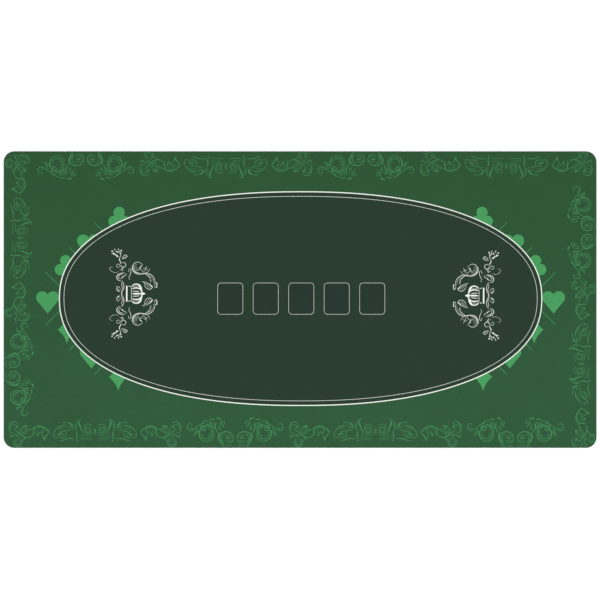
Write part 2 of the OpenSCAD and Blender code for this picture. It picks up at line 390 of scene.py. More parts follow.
@dataclass(frozen=True)
class FoamFinish:
    """Black foam rubber: fine open cells with a dusty bloom in patches."""

    name: str
    colour: Colour
    bloom: Colour
    cell: float = 0.5 * MM
    relief: float = 0.08 * MM

    def material(self) -> bpy.types.Material:
        """Builds the material."""
        material, bench, shader = new_material(self.name)
        place = bench.add("ShaderNodeTexCoord").outputs["Object"]
        cells = bench.add("ShaderNodeTexVoronoi", {"Vector": place, "Scale": 1 / self.cell})
        cloud = bench.add("ShaderNodeTexNoise", {"Vector": place, "Scale": 14.0, "Detail": 5.0})
        dust = bench.add(
            "ShaderNodeMapRange",
            {"Value": cloud.outputs["Fac"], "From Min": 0.45, "From Max": 0.75, "To Max": 0.6},
        )
        tint = bench.add(
            "ShaderNodeMix",
            {"Factor": dust.outputs["Result"], "A": (*self.colour, 1), "B": (*self.bloom, 1)},
            data_type="RGBA",
        )
        bump = bench.add(
            "ShaderNodeBump",
            {"Height": cells.outputs["Distance"], "Strength": 0.7, "Distance": self.relief},
        )
        rough = bench.math("ADD", bench.math("MULTIPLY", cloud.outputs["Fac"], 0.25), 0.68)
        bench.tree.links.new(tint.outputs["Result"], shader.inputs["Base Color"])
        bench.tree.links.new(bump.outputs["Normal"], shader.inputs["Normal"])
        bench.tree.links.new(rough, shader.inputs["Roughness"])
        shader.inputs["Specular IOR Level"].default_value = 0.3
        return material


@dataclass(frozen=True)
class FilmFinish:
    """The cloudy glue film that shows as a thin pale line along the cut edge."""

    name: str
    colour: Colour
    clear: Colour

    def material(self) -> bpy.types.Material:
        """Builds the material."""
        material, bench, shader = new_material(self.name)
        place = bench.add("ShaderNodeTexCoord").outputs["Object"]
        cloud = bench.add("ShaderNodeTexNoise", {"Vector": place, "Scale": 120.0, "Detail": 3.0})
        tint = bench.add(
            "ShaderNodeMix",
            {"Factor": cloud.outputs["Fac"], "A": (*self.colour, 1), "B": (*self.clear, 1)},
            data_type="RGBA",
        )
        rough = bench.math("ADD", bench.math("MULTIPLY", cloud.outputs["Fac"], 0.2), 0.25)
        bench.tree.links.new(tint.outputs["Result"], shader.inputs["Base Color"])
        bench.tree.links.new(rough, shader.inputs["Roughness"])
        return material


@dataclass(frozen=True)
class Palette:
    """Every finish of the mat."""

    light: float = 1.12
    ground: ClothFinish = field(init=False)
    rim: ClothFinish = field(init=False)
    scroll: ClothFinish = field(init=False)
    suit: ClothFinish = field(init=False)
    oval: ClothFinish = field(init=False)
    place: ClothFinish = field(init=False)
    ivory: ClothFinish = field(init=False)
    foam: FoamFinish = field(init=False)
    film: FilmFinish = field(init=False)

    def __post_init__(self) -> None:
        """Mixes the colours for the studio's light."""

        def dye(name: str, screen: Colour, **rest: float) -> ClothFinish:
            """Makes one cloth finish from its screen colour."""
            return ClothFinish(name, linear(*screen, self.light), **rest)

        made = {
            # The ground, the rim and the scroll ink carry painted light that brightens them towards
            # the near edge.
            "ground": dye("green_ground", (44, 83.5, 52), fade=PaintedLightGradient()),
            # Painted shade: the rim's green is darker than the ground's, for the shade on the
            # rounded edge.
            "rim": dye("pressed_rim", (34, 80, 48), gap_shade=0.05, fade=PaintedLightGradient()),
            "scroll": dye("scroll_ink", (62, 130, 77), ink_cover=0.5, fade=PaintedLightGradient()),
            "suit": dye("suit_ink", (70, 153, 90), ink_cover=0.5),
            "oval": dye("oval_ink", (37, 56, 43), ink_cover=0.4),
            "place": dye("place_ink", (34, 52, 44), ink_cover=0.6),
            "ivory": dye("ivory_ink", (240, 246, 236), ink_cover=0.8, uneven=0.03),
            "foam": FoamFinish("foam_black", linear(20, 20, 21), linear(44, 44, 42)),
            "film": FilmFinish("film_cloudy", linear(186, 190, 182), linear(226, 228, 220)),
        }
        for name, finish in made.items():
            object.__setattr__(self, name, finish)


# ---- the laminate ----


@dataclass
class Laminate:
    """Foam rubber, glue film and cloth, cut out together with round corners."""

    corner_r: float = 32 * MM
    corner_steps: int = 24
    grip_depth: float = 0.3 * MM
    grip_pitch: float = 5 * MM
    grip_margin: float = 12 * MM
    rib_w: float = 1.6 * MM
    cross_rib_share: float = 0.7
    rim_w: float = 2 * MM
    rim_drop: float = 0.22 * MM

    def outline(self, half_l: float, half_w: float, inset: float) -> list[Point]:
        """Gives the mat's outline, anticlockwise, drawn in by a distance.

        Args:
            half_l: Half the mat's length.
            half_w: Half the mat's width.
            inset: How far the outline is drawn in.

        Returns:
            The outline's corners.
        """
        r = max(self.corner_r - inset, 0.1 * MM)
        points = []
        for quarter, (sx, sy) in enumerate(((1, 1), (-1, 1), (-1, -1), (1, -1))):
            cx = sx * (half_l - inset - r)
            cy = sy * (half_w - inset - r)
            for i in range(self.corner_steps + 1):
                turn = math.radians(90 * (quarter + i / self.corner_steps))
                points.append((cx + r * math.cos(turn), cy + r * math.sin(turn)))
        return points

    def plate(self, name: str, node: str, edge: list[Point]) -> bpy.types.Object:
        """Builds one layer with a shaped edge.

        Args:
            name: The piece's name.
            node: The CAD node that gives the layer's box.
            edge: The edge from the underside up, as insets and heights.

        Returns:
            The layer, with its flat faces first and last.
        """
        low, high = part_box(node)
        half_l = (high.x - low.x) / 2
        half_w = (high.y - low.y) / 2
        work = bmesh.new()
        rings = [
            [work.verts.new((x, y, z)) for x, y in self.outline(half_l, half_w, inset)]
            for inset, z in edge
        ]
        work.faces.new(list(reversed(rings[0])))
        for below, above in zip(rings, rings[1:]):
            count = len(below)
            for i in range(count):
                j = (i + 1) % count
                side = work.faces.new((below[i], below[j], above[j], above[i]))
                side.smooth = True
        work.faces.new(rings[-1])
        mesh = bpy.data.meshes.new(name)
        work.to_mesh(mesh)
        work.free()
        piece = bpy.data.objects.new(name, mesh)
        bpy.context.collection.objects.link(piece)
        return piece

    def grip_tree(self) -> bpy.types.NodeTree:
        """Builds the tree that lays two crossing rows of ribs under the rubber."""
        tree, bench, inputs = new_tree(
            "grip_ribs",
            {
                "Geometry": ("Geometry", None),
                "Length": ("Float", 1.8),
                "Width": ("Float", 0.9),
                "Pitch": ("Float", self.grip_pitch),
                "Depth": ("Float", self.grip_depth),
                "Rib width": ("Float", self.rib_w),
                "Rubber": ("Material", None),
            },
        )
        rows = []
        quarter_turn = math.pi / 2
        for across, share in ((False, 1.0), (True, self.cross_rib_share)):
            run, reach = ("Width", "Length") if across else ("Length", "Width")
            count = bench.math("FLOOR", bench.math("DIVIDE", inputs[run], inputs["Pitch"]))
            span = bench.math("MULTIPLY", count, inputs["Pitch"])
            start = bench.math("MULTIPLY", span, -0.5)
            axis = "Y" if across else "X"
            deep = bench.math("MULTIPLY", inputs["Depth"], share)
            # A four-sided bar lies on its edge, so the rib has a narrow foot that points down.
            bar = bench.out(
                "GeometryNodeMeshCylinder",
                {"Vertices": 4, "Radius": 0.5, "Depth": inputs[reach]},
                fill_type="NGON",
            )
            tip = (0.0, quarter_turn, 0.0) if across else (quarter_turn, 0.0, 0.0)
            thick = bench.math("MULTIPLY", deep, 2.0)
            wide = inputs["Rib width"]
            sizes = {"X": 1.0 if across else wide, "Y": wide if across else 1.0, "Z": thick}
            rib = bench.moved(
                bench.moved(bar, Rotation=tip),
                Scale=bench.vector(**sizes),
                Translation=bench.vector(Z=inputs["Depth"]),
            )
            first, step = bench.vector(**{axis: start}), bench.vector(**{axis: inputs["Pitch"]})
            rows.append(bench.row(bench.math("ADD", count, 1.0), first, step, rib))
        bench.end(bench.join(inputs["Geometry"], *rows), inputs["Rubber"])
        return tree

    def rubber(self, palette: Palette) -> bpy.types.Object:
        """Builds the rubber with its ribbed underside."""
        low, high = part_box("rubber_base")
        edge = [
            (0.35 * MM, self.grip_depth),
            (0.10 * MM, self.grip_depth + 0.12 * MM),
            (0.0, self.grip_depth + 0.45 * MM),
            (0.06 * MM, (self.grip_depth + high.z) / 2),
            (0.0, high.z - 0.35 * MM),
            (0.05 * MM, high.z),
        ]
        base = self.plate("rubber_blank", "rubber_base", edge)
        piece = grow(
            base,
            self.grip_tree(),
            "foam_rubber_base",
            {
                "Length": high.x - low.x - 2 * self.grip_margin,
                "Width": high.y - low.y - 2 * self.grip_margin,
                "Pitch": self.grip_pitch,
                "Depth": self.grip_depth,
                "Rib width": self.rib_w,
                "Rubber": palette.foam.material(),
            },
        )
        settle(piece, "foam_rubber", "rubber_base")
        return piece

    def film(self, palette: Palette) -> bpy.types.Object:
        """Builds the glue film, set back a hair from the cut edge."""
        low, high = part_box("bond_film")
        edge = [
            (0.12 * MM, low.z),
            (0.06 * MM, (low.z + high.z) / 2),
            (0.10 * MM, high.z),
        ]
        piece = self.plate("bond_film_layer", "bond_film", edge)
        piece.data.materials.append(palette.film.material())
        return settle(piece, "hot_melt_film", "bond_film")

    def cloth(self, palette: Palette) -> bpy.types.Object:
        """Builds the cloth with its pressed rim, whose finish is the same green darkened as painted
        shade of the rounded edge.
        """
        low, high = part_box("playing_cloth")
        top = high.z
        edge = [
            (0.03 * MM, low.z),
            (0.0, low.z + 0.08 * MM),
            (0.0, top - self.rim_drop - 0.10 * MM),
            (0.06 * MM, top - self.rim_drop - 0.03 * MM),
            (0.25 * self.rim_w, top - 0.8 * self.rim_drop),
            (0.55 * self.rim_w, top - 0.4 * self.rim_drop),
            (0.8 * self.rim_w, top - 0.1 * self.rim_drop),
            (self.rim_w, top),
        ]
        piece = self.plate("playing_cloth_sheet", "playing_cloth", edge)
        piece.data.materials.append(palette.ground.material())
        piece.data.materials.append(palette.rim.material())
        # The rim's faces take the second finish, the green darkened as painted shade.
        count = len(self.outline(1.0, 1.0, 0.0))
        rim = range(1 + 2 * count, 1 + 6 * count)
        for face in rim:
            piece.data.polygons[face].material_index = 1
        return settle(piece, "green_cloth", "playing_cloth")


# ---- pen work ----


class Nib(Enum):
    """How a pull of the pen swells along its length."""

    FINE = "one thin width with pointed ends"
    SWELL = "bold in the middle and pointed at both ends"
    BOLD = "bold nearly to its ends"
    DROP = "a round head that thins out to its end"
    SQUARE = "one width, cut square"
    DISC = "a round dot"

    def share(self, t: float) -> float:
        """Gives the share of the full width.

        Args:
            t: How far along the pull, from 0 to 1.

        Returns:
            The share, from 0 to 1.
        """
        ends = min(t, 1 - t)
        if self is Nib.FINE:
            return 0.4 + 0.6 * min(1.0, 6 * ends)
        if self is Nib.SWELL:
            return 0.28 + 0.72 * math.sin(math.pi * t) ** 0.8
        if self is Nib.BOLD:
            return 0.45 + 0.55 * math.sin(math.pi * t) ** 0.35
        if self is Nib.DROP:
            head = min(1.0, t / 0.22)
            return math.sqrt(1 - (1 - head) ** 2 * 0.92) * (1 - 0.8 * max(0.0, t - 0.22) / 0.78)
        if self is Nib.DISC:
            return math.sqrt(max(0.0, 1 - (2 * t - 1) ** 2)) + 0.02
        return 1.0


@dataclass(frozen=True)
class Stroke:
    """One pull of the pen: its nib, its full width and the points it passes, in mm."""

    nib: Nib
    width: float
    points: tuple[Point, ...]

    def sampled(self, step: float) -> list[tuple[float, float, float]]:
        """Lays a smooth line through the points.

        Args:
            step: The longest piece of the line, in mm.

        Returns:
            The line's points with their half widths, in mm.
        """
        known = [Vector(p) for p in self.points]
        known = [2 * known[0] - known[1], *known, 2 * known[-1] - known[-2]]
        line: list[Vector] = []
        for a, b, c, d in zip(known, known[1:], known[2:], known[3:]):
            tb = math.sqrt((b - a).length)
            tc = tb + math.sqrt((c - b).length)
            td = tc + math.sqrt((d - c).length)
            count = max(2, math.ceil((c - b).length / step))
            for i in range(count):
                t = tb + (tc - tb) * i / count
                ab = a + (b - a) * (t / tb)
                bc = b + (c - b) * ((t - tb) / (tc - tb))
                cd = c + (d - c) * ((t - tc) / (td - tc))
                abc = ab + (bc - ab) * (t / tc)
                bcd = bc + (cd - bc) * ((t - tb) / (td - tb))
                line.append(abc + (bcd - abc) * ((t - tb) / (tc - tb)))
        line.append(known[-2])
        far = [0.0]
        for p, q in zip(line, line[1:]):
            far.append(far[-1] + (q - p).length)
        return [
            (p.x, p.y, self.width / 2 * self.nib.share(f / far[-1])) for p, f in zip(line, far)
        ]


def trimmed(
    line: list[tuple[float, float, float]], clear: float, reach: float
) -> list[list[tuple[float, float, float]]]:
    """Cuts a line where its ink would come too near the mat's edges.

    Args:
        line: The line's points with their half widths, with Y from the edge inwards.
        clear: The clear distance along the edge the line is drawn on.
        reach: The furthest X the ink may have, short of the next edge.

    Returns:
        The runs that are left.
    """
    rooms = [min(y - clear, reach - x) - r for x, y, r in line]
    runs: list[list[tuple[float, float, float]]] = [[]]
    for here, ahead, room, next_room in zip(
        line, [*line[1:], line[-1]], rooms, [*rooms[1:], rooms[-1]]
    ):
        if room >= 0:
            runs[-1].append(here)
        if (room >= 0) != (next_room >= 0):
            share = room / (room - next_room)
            cut = tuple(a + (b - a) * share for a, b in zip(here, ahead))
            runs[-1].append(cut)
            if next_room < 0:
                runs.append([])
    return [run for run in runs if len(run) > 2]


def pull(nib: Nib, width: float, *points: Point) -> Stroke:
    """Makes a stroke from its nib, its width and its points, in mm."""
    return Stroke(nib, width, points)


bold = partial(pull, Nib.BOLD)
drop = partial(pull, Nib.DROP)
fine = partial(pull, Nib.FINE)
square = partial(pull, Nib.SQUARE)
swell = partial(pull, Nib.SWELL)


def curl(
    nib: Nib,
    width: float,
    centre: Point,
    r: float,
    start: float,
    sweep: float,
    end_r: float | None = None,
) -> Stroke:
    """Makes a ring, an arc or a whorl.

    Args:
        nib: The nib.
        width: The full width, in mm.
        centre: The middle, in mm.
        r: The radius where it starts, in mm.
        start: The angle where it starts, in degrees.
        sweep: How far it turns, in degrees.
        end_r: The radius where it ends, in mm, or None for the same.

    Returns:
        The stroke.
    """
    last = r if end_r is None else end_r
    count = max(3, math.ceil(abs(sweep) / 40))
    points = []
    for i in range(count + 1):
        share = i / count
        turn = math.radians(start + sweep * share)
        reach = r + (last - r) * share
        points.append((centre[0] + reach * math.cos(turn), centre[1] + reach * math.sin(turn)))
    return Stroke(nib, width, tuple(points))


def dot(centre: Point, r: float) -> Stroke:
    """Makes a round dot, in mm."""
    x, y = centre
    return Stroke(Nib.DISC, 2 * r, ((x - r, y), (x, y), (x + r, y)))


@dataclass
class Pen:
    """Turns pen strokes into flat raised ink."""

    step: float = 3.5
    clear: float = 2.2
    level_steps: int = 5
    level_gap: float = 2e-6
    _tree: bpy.types.NodeTree | None = None

    def runs(self, strokes: list[Stroke]) -> list[list[tuple[float, float, float]]]:
        """Lays a smooth line through each stroke, in mm."""
        return [stroke.sampled(self.step) for stroke in strokes]

    def border_runs(
        self, strokes: list[Stroke], inset: float, reach: float, scale: float
    ) -> list[list[tuple[float, float, float]]]:
        """Lays border strokes out from the mat's edge and cuts what would run off it.

        Args:
            strokes: The strokes.
            inset: How far the drawing is moved in from the edge, in mm.
            reach: How far the next edge is from the drawing's middle, in mm.
            scale: The drawing's scale.

        Returns:
            The runs, in mm, with Y pointing out of the mat.
        """
        cut: list[list[tuple[float, float, float]]] = []
        for line in self.runs(strokes):
            moved = [(x * scale, y * scale + inset, r) for x, y, r in line]
            for run in trimmed(moved, self.clear, reach - self.clear):
                cut.append([(x, -y, r) for x, y, r in run])
        return cut

    def lines(
        self, name: str, runs: list[list[tuple[float, float, float]]]
    ) -> bpy.types.Object:
        """Draws runs as one curve object, whose radius is the ink's half width.

        Args:
            name: The object's name.
            runs: The runs, in mm.

        Returns:
            The curve object.
        """
        data = bpy.data.curves.new(name, "CURVE")
        data.dimensions = "3D"
        for run in runs:
            spline = data.splines.new("POLY")
            spline.points.add(len(run) - 1)
            for point, (x, y, r) in zip(spline.points, run):
                point.co = (x * MM, y * MM, 0, 1)
                point.radius = r * MM
        lines = bpy.data.objects.new(name, data)
        bpy.context.collection.objects.link(lines)
        return lines

    def ink_group(self) -> bpy.types.NodeTree:
        """Builds the group that sweeps pen lines into ink and adds their mirror image."""
        if self._tree:
            return self._tree
        tree, bench, inputs = new_tree(
            "raised_ink",
            {
                "Lines": ("Geometry", None),
                "Thickness": ("Float", INK_T),
                "Mirror": ("Vector", (-1.0, 1.0, 1.0)),
            },
        )

        def noted(shape: bpy.types.NodeSocket, label: str, value: object, domain: str) -> object:
            """Stores a value on geometry under a name."""
            wires = {"Geometry": shape, "Name": label, "Value": value}
            return bench.out(
                "GeometryNodeStoreNamedAttribute", wires, data_type="FLOAT", domain=domain
            )

        def parts() -> bpy.types.NodeOutputs:
            """Splits the position up."""
            spot = bench.out("GeometryNodeInputPosition")
            return bench.add("ShaderNodeSeparateXYZ", {0: spot}).outputs

        flat = bench.out("GeometryNodeSetCurveNormal", {"Curve": inputs["Lines"]}, mode="Z_UP")
        order = bench.math("MODULO", bench.out("GeometryNodeInputIndex"), self.level_steps)
        # The section is flat below and narrows a little towards its top.
        corners = ((-1.0, 0.0), (-0.9, 1.0), (0.9, 1.0), (1.0, 0.0))
        section = bench.out(
            "GeometryNodeCurvePrimitiveQuadrilateral",
            {f"Point {i}": (*corner, 0.0) for i, corner in enumerate(corners, 1)},
            mode="POINTS",
        )
        swept = bench.out(
            "GeometryNodeCurveToMesh",
            {
                "Curve": noted(flat, "level", order, "CURVE"),
                "Profile Curve": noted(section, "rise", parts()["Y"], "POINT"),
                "Scale": bench.out("GeometryNodeInputRadius"),
                "Fill Caps": True,
            },
        )
        rise, level = (
            bench.out("GeometryNodeInputNamedAttribute", {"Name": label}, data_type="FLOAT")
            for label in ("rise", "level")
        )
        drop = bench.math("MULTIPLY", level, self.level_gap)
        height = bench.math("MULTIPLY", rise, bench.math("SUBTRACT", inputs["Thickness"], drop))
        spot = parts()
        flattened = bench.vector(X=spot["X"], Y=spot["Y"], Z=height)
        laid = bench.out("GeometryNodeSetPosition", {"Geometry": swept, "Position": flattened})
        image = bench.moved(
            laid, Scale=inputs["Mirror"], Translation=(0.0, 0.0, -self.level_gap / 2)
        )
        bench.add("NodeGroupOutput", {"Geometry": bench.join(laid, image)})
        self._tree = tree
        return tree


# ---- the printed layout ----


@dataclass
class Layout:
    """The oval, its lines, the card places, the suit marks and the lattice lines."""

    places: int = 5

    def dress(self, nodes: dict[str, bpy.types.Object], palette: Palette) -> list[bpy.types.Object]:
        """Gives the layout's CAD nodes their inks.

        Args:
            nodes: The CAD nodes by name.
            palette: The finishes.

        Returns:
            The dressed nodes.
        """
        ivory = palette.ivory.material()
        suit = palette.suit.material()
        inks = {
            "oval_field": palette.oval.material(),
            "oval_outer_line": ivory,
            "oval_inner_line": ivory,
            "suit_marks_left": suit,
            "suit_marks_right": suit,
            "lattice_lines_left": suit,
            "lattice_lines_right": suit,
        }
        fill = palette.place.material()
        for i in range(1, self.places + 1):
            inks[f"card_frame_{i}"] = ivory
            inks[f"card_fill_{i}"] = fill
        for name, ink in inks.items():
            data = nodes[name].data
            data.materials.clear()
            data.materials.append(ink)
            LOG.info("%s: %s", name, ink.name)
        return [nodes[name] for name in inks]


# ---- the crests ----


@dataclass
class Crest:
    """A ribbed crown, the scrolls round it and the column of curls behind it.

    Each is drawn in mm from the middle of the crown's foot, with the crown's tip
    towards +X, and holds its upper half only.
    """

    side: str
    facing: float
    foot_t: float = 4.3
    foot_l: float = 48.0
    pen: Pen = field(default_factory=Pen)

    def crown_lines(self) -> list[Stroke]:
        """Draws the foot, the ribs and the tip."""
        half = self.foot_l / 4
        middle = self.foot_t / 2
        return [
            # Foot
            square(self.foot_t, (middle, -0.5), (middle, half), (middle, 2 * half)),
            # Middle rib and tip
            bold(5.0, (20, 0), (32, 0), (45, 0)),
            drop(11.5, (45.5, 0), (50, 0), (58, 0)),
            # Base band
            square(1.2, (16.5, -0.5), (16, 12), (17.5, 21.5)),
            # Neck
            drop(2.1, (14.5, 21.5), (10.5, 22.5), (6, 23)),
            # Outer lobe
            bold(3.5, (17.5, 22), (23.5, 27.5), (31, 29), (38.5, 27.5), (43.5, 23), (46.5, 16),
                (47.5, 8.5)),
            # Outer lobe, bold side
            swell(4.9, (37.5, 26), (43, 20.5), (45.5, 14.5), (46, 8.5)),
            # Outer lobe, inner edge
            bold(3.6, (19, 15), (25, 17), (31, 17.5), (39.5, 16), (47, 9.5)),
            # Outer lobe, shading
            fine(0.9, (20.5, 21), (30, 23), (39, 21.5)),
            # Inner rib
            bold(1.9, (19.5, 7.5), (30, 7.5), (40.5, 6.5)),
            # Tip's shoulder
            swell(2.4, (44.5, 4), (48, 7.5), (50, 10.5)),
        ]

    def scroll_lines(self) -> list[Stroke]:
        """Draws the great scroll, its leaf and the hook beside the crown."""
        return [
            # Great scroll
            swell(1.7, (51.5, 86.5), (44.5, 92.5), (36, 96), (27.5, 93.5), (21, 87), (18.5, 78),
                (22, 69), (28.5, 62.5), (38.5, 59.5), (49, 60), (62, 62.5), (73, 59), (81.5, 52.5),
                (87, 41.5), (88, 31.5), (86.5, 25.5)),
            # Scroll's shade
            swell(1.6, (23, 86), (21.5, 78), (25, 69.5), (32.5, 64.5), (42.5, 62.5)),
            # Scroll's eye ring
            curl(Nib.FINE, 0.6, (35, 80), 9.5, 100, 250),
            curl(Nib.FINE, 0.5, (36, 79), 5, 120, 230),
            # Scroll's eye
            drop(2.6, (48.5, 84), (43, 81), (41.5, 74.5)),
            # Eye to stem
            fine(0.8, (42.5, 76.5), (49, 70), (55.5, 65.5)),
            # Twig
            swell(1.1, (56, 67), (60, 76.5), (63.5, 84)),
            # Twig's leaf
            fine(0.6, (51.5, 73.5), (55.5, 78), (60.5, 76.5), (65.5, 70.5)),
            # Twig
            fine(0.6, (60, 62.5), (68.5, 68), (71.5, 76.5)),
            # Stem, second line
            swell(1.3, (47.5, 63.5), (59.5, 59.5), (68.5, 52.5), (73.5, 46), (76.5, 37)),
            # Stem, third line
            fine(0.6, (65.5, 59), (76, 51.5), (82.5, 41.5), (84, 31)),
            # Tendril
            fine(0.6, (70.5, 44.5), (74.5, 39), (73, 33.5)),
            # Knot
            swell(1.4, (86.5, 32), (93.5, 33.5), (94, 26), (92.5, 18.5), (87, 21.5), (87, 28.5)),
            # Knot's point
            swell(1.6, (93, 18), (93.5, 25.5), (92.5, 33.5)),
            # Leaf
            swell(1.2, (48.5, 37.5), (55.5, 33), (57.5, 23), (64, 15), (73, 13.5), (79.5, 18.5),
                (77, 25), (68.5, 31), (59, 35), (48.5, 37.5)),
            # Leaf's bold edge
            drop(2.4, (81.5, 19.5), (76.5, 23), (70.5, 29)),
            # Leaf, vein
            fine(0.6, (55.5, 34.5), (63, 26.5), (68.5, 17)),
            fine(0.6, (61, 33), (69.5, 24.5), (74.5, 16)),
            # Hook
            swell(1.2, (7.5, 69.5), (9, 75.5), (13.5, 74), (15, 65), (11, 54.5), (8, 47.5),
                (10.5, 43)),
            # Hook's bead
            dot((7.5, 69), 1.1),
            dot((10.5, 43.5), 1.1),
        ]

    def column_lines(self) -> list[Stroke]:
        """Draws the column of curls behind the crown."""
        return [
            # Bud
            dot((-37, 121), 2.6),
            dot((-27.5, 127), 2.1),
            dot((-42.5, 129.5), 1.9),
            dot((-14.5, 131), 2.2),
            dot((-16.5, 123.5), 2.1),
            dot((-27, 114), 2.6),
            dot((-34.5, 134.5), 1.6),
            dot((-23, 134.5), 1.6),
            dot((-42, 122), 1.4),
            dot((-32, 117.5), 1.9),
            dot((-21, 129), 1.6),
            # Spray
            fine(0.8, (-44.5, 130.5), (-39, 126.5), (-37, 121.5)),
            fine(0.9, (-34.5, 132.5), (-28, 127.5), (-20, 124), (-15, 116.5)),
            fine(0.9, (-37, 121.5), (-30.5, 119), (-26.5, 114), (-20, 113)),
            swell(1.2, (-14.5, 130.5), (-17, 124), (-16, 116), (-19, 109.5)),
            # Leaf
            swell(1.3, (-13, 105.5), (-8, 114), (-1, 118), (3.5, 113), (-2.5, 108.5), (-13, 105.5)),
            # Leaf, vein
            fine(0.6, (-10.5, 107.5), (-4.5, 111), (1, 113)),
            # Stem
            swell(2.1, (-19, 110.5), (-20.5, 103), (-16.5, 96), (-16, 90)),
            # Loop
            curl(Nib.SWELL, 1.3, (-7.5, 88), 7, 150, -330),
            # Small loop
            curl(Nib.FINE, 0.8, (-24, 85), 5, 40, 300),
            # Crossing
            fine(0.9, (-23, 91.5), (-14, 82), (-7.5, 72)),
            fine(0.9, (-4.5, 81), (-13, 74.5), (-19.5, 72)),
            # Knot
            dot((-12, 71), 1.3),
            # Tendril
            fine(0.6, (-40, 81.5), (-47, 80), (-50, 75.5), (-44.5, 68), (-33.5, 64), (-22, 66.5)),
            # Swirl
            swell(1.9, (-3.5, 62.5), (-13.5, 62.5), (-25, 57), (-28.5, 48.5), (-24.5, 41.5),
                (-16, 39)),
            # Swirl, inside
            swell(1.2, (-8, 58.5), (-17.5, 57.5), (-22.5, 50.5), (-20, 45.5), (-14, 46)),
            # Swirl's eye
            drop(2.8, (-7.5, 53), (-11.5, 49), (-15, 45.5)),
            # Spur
            swell(1.2, (-8, 52.5), (-1, 56), (1.5, 62)),
            # Strand
            swell(1.4, (-14, 40.5), (-8, 31), (-6.5, 20.5), (-9.5, 9.5), (-14, 0)),
            # Strand, inside
            fine(1.0, (-11, 38.5), (-13.5, 27.5), (-10.5, 17), (-13.5, 7.5), (-13, -1)),
            # Side loop
            fine(0.9, (-16.5, 12), (-20, 19), (-27, 22), (-29, 14), (-24.5, 7.5), (-18, 8)),
            # Side loop's drop
            drop(2.3, (-20.5, 6), (-23.5, 10.5), (-26, 16.5)),
            # Foot
            fine(0.9, (-16.5, 3), (-11, -0.5)),
        ]

    def tree(self) -> bpy.types.NodeTree:
        """Builds the tree that inks a crest's lines and puts them in their place."""
        tree, bench, inputs = new_tree(
            "crest_ink",
            {
                "Lines": ("Geometry", None),
                "Foot": ("Vector", (0.0, 0.0, 0.0)),
                "Facing": ("Vector", (1.0, 1.0, 1.0)),
                "Thickness": ("Float", INK_T),
                "Ink": ("Material", None),
            },
        )
        wires = {name: inputs[name] for name in ("Lines", "Thickness")}
        wires["Mirror"] = (1.0, -1.0, 1.0)
        inked = bench.out("GeometryNodeGroup", wires, node_tree=self.pen.ink_group())
        placed = bench.moved(inked, Translation=inputs["Foot"], Scale=inputs["Facing"])
        bench.end(placed, inputs["Ink"])
        return tree

    def build(self, ink: bpy.types.Material) -> list[bpy.types.Object]:
        """Builds the crest's three pieces.

        Args:
            ink: The ivory ink.

        Returns:
            The crown, the scrolls and the column.
        """
        low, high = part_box(f"crown_{self.side}")
        foot_x = low.x if self.facing > 0 else high.x
        foot = (foot_x, (low.y + high.y) / 2, low.z)
        tree = self.tree()
        pieces = []
        for part, strokes in (
            ("crown", self.crown_lines()),
            ("crown_scrolls", self.scroll_lines()),
            ("vine_column", self.column_lines()),
        ):
            piece = grow(
                self.pen.lines(f"{part}_{self.side}_lines", self.pen.runs(strokes)),
                tree,
                f"{part}_{self.side}_print",
                {
                    "Foot": foot,
                    "Facing": (self.facing, 1.0, 1.0),
                    "Thickness": high.z - low.z,
                    "Ink": ink,
                },
            )
            turn_outwards(piece.data)
            pieces.append(settle(piece, "ivory_print", f"{part}_{self.side}"))
        return pieces


# ---- the border ----


@dataclass(frozen=True)
class Edge:
    """One edge of the border, by the turn that brings the top edge onto it.

    Gaps are the spaces between the border and the mat, along the edge and across it.
    Lead is the distance from the border's corner to the first rosette, and tail from
    the last bracket to the next corner.
    """

    name: str
    turn: float
    groups: int
    gap_along: float
    gap_across: float
    lead: float
    tail: float

    @property
    def is_long(self) -> bool:
        """Tells whether the edge runs along the mat's length."""
        return self.turn in (0.0, 180.0)


